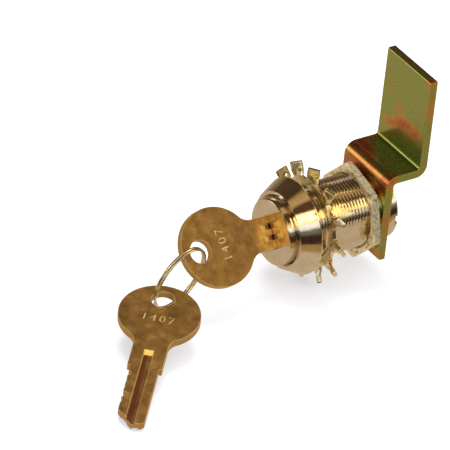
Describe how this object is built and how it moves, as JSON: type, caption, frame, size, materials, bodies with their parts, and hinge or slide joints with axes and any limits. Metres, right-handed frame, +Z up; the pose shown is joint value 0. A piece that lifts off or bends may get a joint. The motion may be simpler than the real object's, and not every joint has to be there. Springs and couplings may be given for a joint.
{
  "type": "cam lock",
  "caption": "Keyed cam lock: conical collar, threaded barrel with two flats, hex nut, tooth washer, offset slotted cam, and flat keys on a split ring.",
  "frame": {"origin": "centre of the collar's back face, on the lock's axis", "axes": "+Y along the lock's axis from the key side to the cam side, +Z up, the barrel's two flats facing +X and -X"},
  "size_m": [0.0569, 0.1059, 0.0555],
  "materials": {
    "nickel_plate": "bright nickel plate",
    "zinc_plate": "dull zinc plate",
    "yellow_zinc": "pale yellow zinc plate",
    "dichromate": "yellow dichromate plate",
    "wafer_brass": "stamped brass",
    "spring_steel": "bright wire",
    "key_brass": "aged brass",
    "ring_steel": "nickel plated wire"
  },
  "bodies": {
    "barrel": {"barrel": "nickel_plate"},
    "plug": {"plug": "nickel_plate", "retainer_wafer": "wafer_brass", "retainer_spring": "spring_steel", "stop_washer": "zinc_plate", "cam_nut": "nickel_plate", "wafer_spring_1": "spring_steel", "wafer_spring_2": "spring_steel", "wafer_spring_3": "spring_steel", "wafer_spring_4": "spring_steel", "wafer_spring_5": "spring_steel"},
    "cam": {"cam": "dichromate"},
    "nut": {"hex_nut": "zinc_plate"},
    "washer": {"tooth_washer": "yellow_zinc"},
    "key": {"key": "key_brass"},
    "ring": {"key_ring": "ring_steel"},
    "spare": {"spare_key": "key_brass"},
    "wafer_1": {"wafer_1": "wafer_brass"},
    "wafer_2": {"wafer_2": "wafer_brass"},
    "wafer_3": {"wafer_3": "wafer_brass"},
    "wafer_4": {"wafer_4": "wafer_brass"},
    "wafer_5": {"wafer_5": "wafer_brass"}
  },
  "joints": [
    {"name": "plug_turn", "type": "hinge", "parent": "barrel", "child": "plug", "pos_m": [0, 0, 0], "axis": [0, 1, 0], "range_deg": [0, 90]},
    {"name": "key_pull", "type": "slide", "parent": "plug", "child": "key", "axis": [0, -1, 0], "range_m": [0, 0.03]},
    {"name": "wafer_1_slide", "type": "slide", "parent": "plug", "child": "wafer_1", "axis": [0.7071, 0, -0.7071], "range_m": [0, 0.0007], "deforming": ["wafer_spring_1"]},
    {"name": "wafer_2_slide", "type": "slide", "parent": "plug", "child": "wafer_2", "axis": [0.7071, 0, -0.7071], "range_m": [0, 0.0007], "deforming": ["wafer_spring_2"]},
    {"name": "wafer_3_slide", "type": "slide", "parent": "plug", "child": "wafer_3", "axis": [0.7071, 0, -0.7071], "range_m": [0, 0.0007], "deforming": ["wafer_spring_3"]},
    {"name": "wafer_4_slide", "type": "slide", "parent": "plug", "child": "wafer_4", "axis": [0.7071, 0, -0.7071], "range_m": [0, 0.0007], "deforming": ["wafer_spring_4"]},
    {"name": "wafer_5_slide", "type": "slide", "parent": "plug", "child": "wafer_5", "axis": [0.7071, 0, -0.7071], "range_m": [0, 0.0007], "deforming": ["wafer_spring_5"]},
    {"name": "ring_swing", "type": "hinge", "parent": "key", "child": "ring", "pos_m": [0.00099, -0.02871, -0.00099], "axis": [0.2708, -0.2964, 0.9159], "range_deg": [-30, 30]},
    {"name": "spare_key_swing", "type": "hinge", "parent": "ring", "child": "spare", "pos_m": [0.00467, -0.04503, -0.00736], "axis": [0.2708, -0.2964, 0.9159], "range_deg": [-25, 25]},
    {"name": "washer_slide", "type": "slide", "parent": "barrel", "child": "washer", "axis": [0, 1, 0], "range_m": [-0.0012, 0.0108]},
    {"name": "nut_travel", "type": "slide", "parent": "barrel", "child": "nut", "axis": [0, 1, 0], "range_m": [-0.0108, 0]},
    {"name": "cam_shift", "type": "slide", "parent": "plug", "child": "cam", "axis": [0, 0, 1], "range_m": [-0.001, 0.001]}
  ],
  "couplings": [
    {"joint": "wafer_1_slide", "follows": "key_pull", "ratio": 0.0233},
    {"joint": "wafer_2_slide", "follows": "key_pull", "ratio": 0.0233},
    {"joint": "wafer_3_slide", "follows": "key_pull", "ratio": 0.0233},
    {"joint": "wafer_4_slide", "follows": "key_pull", "ratio": 0.0233},
    {"joint": "wafer_5_slide", "follows": "key_pull", "ratio": 0.0233}
  ]
}
